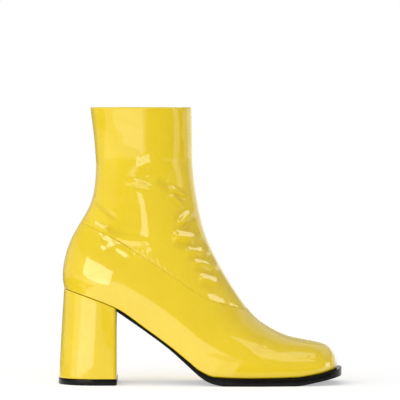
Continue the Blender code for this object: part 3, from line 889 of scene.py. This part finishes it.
def make_heel(patent):
    """Block heel, covered in patent, with turned edges above and below."""
    rows = []
    low = LIFT_THICK + GAP
    for amount in LID_LOOPS:
        rows.append([(x, y, low) for x, y in shrunk(heel_outline(0.0), amount)])
    between = np.linspace(EDGE_END, 1 - EDGE_END, HEEL_ROWS)
    edge = np.array(EDGE_SHARES)
    for share in np.concatenate([edge, between, 1 - edge[::-1]]):
        points = heel_outline(share)
        top = seat(points[:, 0])
        span = np.minimum(share, 1 - share) * (top - low)
        drawn = -roll_in(span, RIM_ROLL, HEEL_RIM_DEPTH) / HEEL_MEAN_HALF
        points = shrunk(points, drawn[:, None])
        rows.append([(x, y, low + (t - low) * share) for (x, y), t in zip(points, top)])
    for amount in LID_LOOPS[::-1]:
        rows.append([(x, y, float(seat(x))) for x, y in shrunk(heel_outline(1.0), amount)])
    rows = np.array(rows)
    return settle(new_piece(HEEL_PIECE, rows, lidded(rows), [patent]), "heel")


def make_heel_lift(rubber):
    """Wearing piece under the heel, rounded edges and fine tread underneath."""
    base = heel_outline(0.0, LIFT_EDGE)
    rows = []
    for amount in np.linspace(*LIFT_LOOP_ENDS, LIFT_LOOPS):
        loop = shrunk(base, amount)
        inside = smoothstep(*LIFT_TREAD_EDGE, amount)
        rows.append([(x, y, float(ribs(x, y)) * inside) for x, y in loop])
    for a in np.linspace(0.0, math.pi / 2, LIFT_EDGE_STEPS + 1):
        loop = shrunk(base, EDGE_ROUND * (1 - math.sin(a)) / LIFT_MEAN_HALF)
        rows.append([(x, y, EDGE_ROUND * (1 - math.cos(a))) for x, y in loop])
    for a in np.linspace(0.0, math.pi / 2, LIFT_TOP_STEPS + 1):
        loop = shrunk(base, LIFT_TOP_ROUND * (1 - math.cos(a)) / LIFT_MEAN_HALF)
        rows.append([(x, y, LIFT_THICK - LIFT_TOP_ROUND * (1 - math.sin(a))) for x, y in loop])
    for amount in LIFT_LID_LOOPS:
        rows.append([(x, y, LIFT_THICK) for x, y in shrunk(base, amount)])
    rows = np.array(rows)
    return settle(new_piece(LIFT_PIECE, rows, lidded(rows), [rubber]), "heel_lift")


# Materials


def shader_tree(name):
    material = bpy.data.materials.new(name)
    material.use_nodes = True
    tree = material.node_tree
    return material, tree, tree.nodes["Principled BSDF"]


def noise_node(tree, scale, detail):
    """Noise in a piece's own frame; scale is in repeats per metre."""
    place = tree.nodes.new("ShaderNodeTexCoord")
    noise = tree.nodes.new("ShaderNodeTexNoise")
    noise.inputs["Scale"].default_value = scale
    noise.inputs["Detail"].default_value = detail
    tree.links.new(place.outputs["Object"], noise.inputs["Vector"])
    return noise


def ranged(tree, source, low=0.0, high=1.0, from_low=0.3, from_high=0.7):
    """A value mapped from the middle of a noise onto a working range."""
    node = tree.nodes.new("ShaderNodeMapRange")
    node.inputs["From Min"].default_value = from_low
    node.inputs["From Max"].default_value = from_high
    node.inputs["To Min"].default_value = low
    node.inputs["To Max"].default_value = high
    tree.links.new(source, node.inputs["Value"])
    return node.outputs["Result"]


def mixed(tree, factor, first, second):
    """Colour between two, by a varying factor. Either may be a colour or a socket."""
    node = tree.nodes.new("ShaderNodeMix")
    node.data_type = "RGBA"
    tree.links.new(factor, node.inputs["Factor"])
    for socket, value in ((node.inputs["A"], first), (node.inputs["B"], second)):
        if isinstance(value, tuple):
            socket.default_value = (*value, 1.0)
        else:
            tree.links.new(value, socket)
    return node.outputs["Result"]


def toned(tree, noise, light, deep):
    """Colour that wanders between two with a noise."""
    return mixed(tree, ranged(tree, noise.outputs["Fac"]), light, deep)


def bumped(tree, height, distance, strength, below=None):
    """Normals bent by a height; distance is its size in metres, below what it adds to."""
    node = tree.nodes.new("ShaderNodeBump")
    node.inputs["Distance"].default_value = distance
    node.inputs["Strength"].default_value = strength
    tree.links.new(height, node.inputs["Height"])
    if below is not None:
        tree.links.new(below, node.inputs["Normal"])
    return node.outputs["Normal"]


def patent_material():
    """Yellow patent: soft colour under a clear hard coat, with painted shade that darkens it in
    creases, along the seam and at the lower rim.
    """
    material, tree, shader = shader_tree("yellow_patent")
    cloud = noise_node(tree, scale=38.0, detail=3.0)
    tone = toned(tree, cloud, PATENT_LIGHT, PATENT_DEEP)
    # painted shade read from the fold attribute: creases, ridge feet, seam and rim
    painted_shade_attribute = tree.nodes.new("ShaderNodeAttribute")
    painted_shade_attribute.attribute_name = "fold"
    painted_shade_share = ranged(tree, painted_shade_attribute.outputs["Fac"], high=FOLD_SHADE_SHARE, from_low=0.1, from_high=1.0)
    tree.links.new(mixed(tree, painted_shade_share, tone, PATENT_FOLD_SHADE), shader.inputs["Base Color"])
    fine = noise_node(tree, scale=240.0, detail=4.0)
    tree.links.new(ranged(tree, fine.outputs["Fac"], 0.20, 0.32), shader.inputs["Roughness"])
    peel = noise_node(tree, scale=700.0, detail=2.0)
    swell = noise_node(tree, scale=95.0, detail=1.0)
    waves = bumped(tree, swell.outputs["Fac"], distance=0.0006, strength=0.12)
    normal = bumped(tree, peel.outputs["Fac"], distance=0.00004, strength=0.12, below=waves)
    tree.links.new(normal, shader.inputs["Normal"])
    tree.links.new(normal, shader.inputs["Coat Normal"])
    shader.inputs["Specular IOR Level"].default_value = 0.12
    shader.inputs["Coat Weight"].default_value = 1.0
    shader.inputs["Coat Roughness"].default_value = 0.035
    shader.inputs["Coat IOR"].default_value = 1.5
    return material


def lining_material():
    """Pale knitted backing on the inside: fine ribs and a matte fuzz."""
    material, tree, shader = shader_tree("knit_lining")
    place = tree.nodes.new("ShaderNodeTexCoord")
    knit = tree.nodes.new("ShaderNodeTexWave")
    knit.bands_direction = "Z"
    knit.inputs["Scale"].default_value = 210.0
    knit.inputs["Distortion"].default_value = 1.6
    knit.inputs["Detail"].default_value = 2.0
    tree.links.new(place.outputs["Object"], knit.inputs["Vector"])
    fuzz = noise_node(tree, scale=900.0, detail=3.0)
    tree.links.new(toned(tree, fuzz, KNIT_LIGHT, KNIT_DEEP), shader.inputs["Base Color"])
    tree.links.new(ranged(tree, fuzz.outputs["Fac"], 0.78, 0.95), shader.inputs["Roughness"])
    ribbed = bumped(tree, knit.outputs["Fac"], distance=0.0003, strength=0.5)
    fuzzy = bumped(tree, fuzz.outputs["Fac"], distance=0.0002, strength=0.3, below=ribbed)
    tree.links.new(fuzzy, shader.inputs["Normal"])
    return material


def rubber_material():
    """Black sole compound: satin, finely pitted, with faint grey scuffs."""
    material, tree, shader = shader_tree("black_sole")
    scuff = noise_node(tree, scale=130.0, detail=6.0)
    worn = ranged(tree, scuff.outputs["Fac"], from_low=0.5, from_high=0.85)
    tree.links.new(mixed(tree, worn, SOLE_BLACK, SOLE_SCUFF), shader.inputs["Base Color"])
    tree.links.new(ranged(tree, scuff.outputs["Fac"], 0.14, 0.28), shader.inputs["Roughness"])
    shader.inputs["Specular IOR Level"].default_value = 0.2
    pits = noise_node(tree, scale=1500.0, detail=2.0)
    pitted = bumped(tree, pits.outputs["Fac"], distance=0.00006, strength=0.25)
    tree.links.new(pitted, shader.inputs["Normal"])
    return material


def sock_material():
    """Pale insole cloth with a fine weave."""
    material, tree, shader = shader_tree("insole_cloth")
    weave = noise_node(tree, scale=1100.0, detail=2.0)
    tree.links.new(toned(tree, weave, SOCK_LIGHT, SOCK_DEEP), shader.inputs["Base Color"])
    tree.links.new(ranged(tree, weave.outputs["Fac"], 0.75, 0.95), shader.inputs["Roughness"])
    woven = bumped(tree, weave.outputs["Fac"], distance=0.0002, strength=0.4)
    tree.links.new(woven, shader.inputs["Normal"])
    return material


# Stage: floor, lights, camera


def make_floor():
    """Plain pale floor, gently mottled."""
    count = FLOOR_CELLS + 1
    line = np.linspace(-FLOOR_HALF, FLOOR_HALF, count)
    points = [(x, y, 0.0) for y in line for x in line]
    faces = strip_faces(count, count, close_rows=False, close_columns=False)
    mesh = bpy.data.meshes.new("floor")
    mesh.from_pydata(points, [], faces)
    material, tree, shader = shader_tree("pale_floor")
    mottle = noise_node(tree, scale=9.0, detail=3.0)
    tree.links.new(toned(tree, mottle, FLOOR_LIGHT, FLOOR_DEEP), shader.inputs["Base Color"])
    shader.inputs["Roughness"].default_value = 0.9
    shader.inputs["Specular IOR Level"].default_value = 0.1
    shader.inputs["Emission Color"].default_value = WHITE
    shader.inputs["Emission Strength"].default_value = FLOOR_GLOW
    mesh.materials.append(material)
    floor = bpy.data.objects.new("floor", mesh)
    bpy.context.scene.collection.objects.link(floor)


def add_lamp(name, width, height, radiance, mirrored=True):
    """Rectangular light that only reflections see, or that all but reflections see."""
    data = bpy.data.lights.new(name, "AREA")
    data.shape = "RECTANGLE"
    data.size, data.size_y = width, height
    data.energy = radiance * math.pi * width * height
    lamp = bpy.data.objects.new(name, data)
    lamp.visible_camera = False
    lamp.visible_diffuse = not mirrored
    lamp.visible_glossy = mirrored
    bpy.context.scene.collection.objects.link(lamp)
    return lamp


def light_only(lamp, names):
    """Lets a light fall on the named pieces alone."""
    receivers = bpy.data.collections.new(lamp.name + "_lights")
    for name in names:
        receivers.objects.link(bpy.data.objects[name])
    lamp.light_linking.receiver_collection = receivers


def make_lights():
    """Lights round the boot, each turned to its place on it."""
    for row in [*LIGHTS, BACK_LIGHT]:
        lamp = add_lamp(row.name, row.width, row.height, row.radiance, row is not BACK_LIGHT)
        turn, rise = math.radians(row.azimuth), math.radians(row.elevation)
        away = Vector(
            (math.sin(turn) * math.cos(rise), -math.cos(turn) * math.cos(rise), math.sin(rise))
        )
        lamp.location = Vector(AIMS[row.aim]) * MM + away * row.distance
        facing = (-away).to_track_quat("-Z", "Y")
        rolled = Quaternion((0.0, 0.0, 1.0), math.radians(row.roll))
        lamp.rotation_euler = (facing @ rolled).to_euler()
        light_only(lamp, row.lit)


def make_table_glow():
    """Brightly lit table in front and to the left, which the side of the boot mirrors."""
    for row in GLOWS:
        lamp = add_lamp(row.name, row.right - row.left, row.near - row.far, row.radiance)
        lamp.location = ((row.left + row.right) / 2, (row.near + row.far) / 2, CARD_RISE)
        lamp.rotation_euler = (math.pi, 0.0, 0.0)
        light_only(lamp, row.lit)


def make_dark_cards():
    """Dark cards on the floor that only reflections see."""
    material, tree, shader = shader_tree("dark_felt")
    felt = noise_node(tree, scale=60.0, detail=3.0)
    tree.links.new(toned(tree, felt, FELT_LIGHT, FELT_DEEP), shader.inputs["Base Color"])
    shader.inputs["Roughness"].default_value = 1.0
    for row in DARK_CARDS:
        corners = [(x, y, CARD_RISE) for y in (row.far, row.near) for x in (row.left, row.right)]
        mesh = bpy.data.meshes.new(row.name)
        mesh.from_pydata(corners, [], [(0, 1, 3, 2)])
        mesh.materials.append(material)
        card = bpy.data.objects.new(row.name, mesh)
        card.visible_camera = False
        card.visible_diffuse = False
        card.visible_shadow = False
        bpy.context.scene.collection.objects.link(card)


def make_world():
    """White behind everything; a soft grey all round with a white backdrop for the reflections."""
    world = bpy.data.worlds.new("studio")
    world.use_nodes = True
    tree = world.node_tree
    tree.nodes.clear()
    paths = tree.nodes.new("ShaderNodeLightPath")
    seen = tree.nodes.new("ShaderNodeBackground")
    seen.inputs["Color"].default_value = WHITE
    lit = tree.nodes.new("ShaderNodeBackground")
    lit.inputs["Color"].default_value = WHITE
    way = tree.nodes.new("ShaderNodeTexCoord")
    choose = tree.nodes.new("ShaderNodeMix")
    tree.links.new(paths.outputs["Is Glossy Ray"], choose.inputs["Factor"])
    sides = []
    for toward in (FILL_FROM, BACKDROP_FROM):
        side = tree.nodes.new("ShaderNodeVectorMath")
        side.operation = "DOT_PRODUCT"
        side.inputs[1].default_value = toward
        tree.links.new(way.outputs["Generated"], side.inputs[0])
        sides.append(side.outputs["Value"])
    fill = ranged(tree, sides[0], DIM_FILL, BRIGHT_FILL, from_low=0.0, from_high=1.0)
    mirrored = ranged(tree, sides[1], MIRRORED_FILL, BACKDROP, *BACKDROP_SPAN)
    tree.links.new(fill, choose.inputs["A"])
    tree.links.new(mirrored, choose.inputs["B"])
    tree.links.new(choose.outputs["Result"], lit.inputs["Strength"])
    mix = tree.nodes.new("ShaderNodeMixShader")
    tree.links.new(paths.outputs["Is Camera Ray"], mix.inputs["Fac"])
    tree.links.new(lit.outputs["Background"], mix.inputs[1])
    tree.links.new(seen.outputs["Background"], mix.inputs[2])
    out = tree.nodes.new("ShaderNodeOutputWorld")
    tree.links.new(mix.outputs["Shader"], out.inputs["Surface"])
    bpy.context.scene.world = world


def make_camera():
    data = bpy.data.cameras.new("camera")
    data.sensor_width = SENSOR_MM
    camera = bpy.data.objects.new("camera", data)
    camera.location = CAMERA_AT
    sight = Vector(CAMERA_AIM) - Vector(CAMERA_AT)
    camera.rotation_euler = sight.to_track_quat("-Z", "Y").to_euler()
    data.lens = sight.length / METRES_PER_PIXEL * SENSOR_MM / IMAGE_PIXELS
    bpy.context.scene.collection.objects.link(camera)
    bpy.context.scene.camera = camera


def main():
    make_camera()
    patent = patent_material()
    lining = lining_material()
    rubber = rubber_material()
    make_upper(patent, lining)
    make_shaft(patent, lining)
    make_outsole(rubber)
    make_heel(patent)
    make_heel_lift(rubber)
    make_insole(sock_material())
    make_floor()
    make_lights()
    make_table_glow()
    make_dark_cards()
    make_world()
    bpy.context.scene.view_settings.view_transform = "Standard"


main()
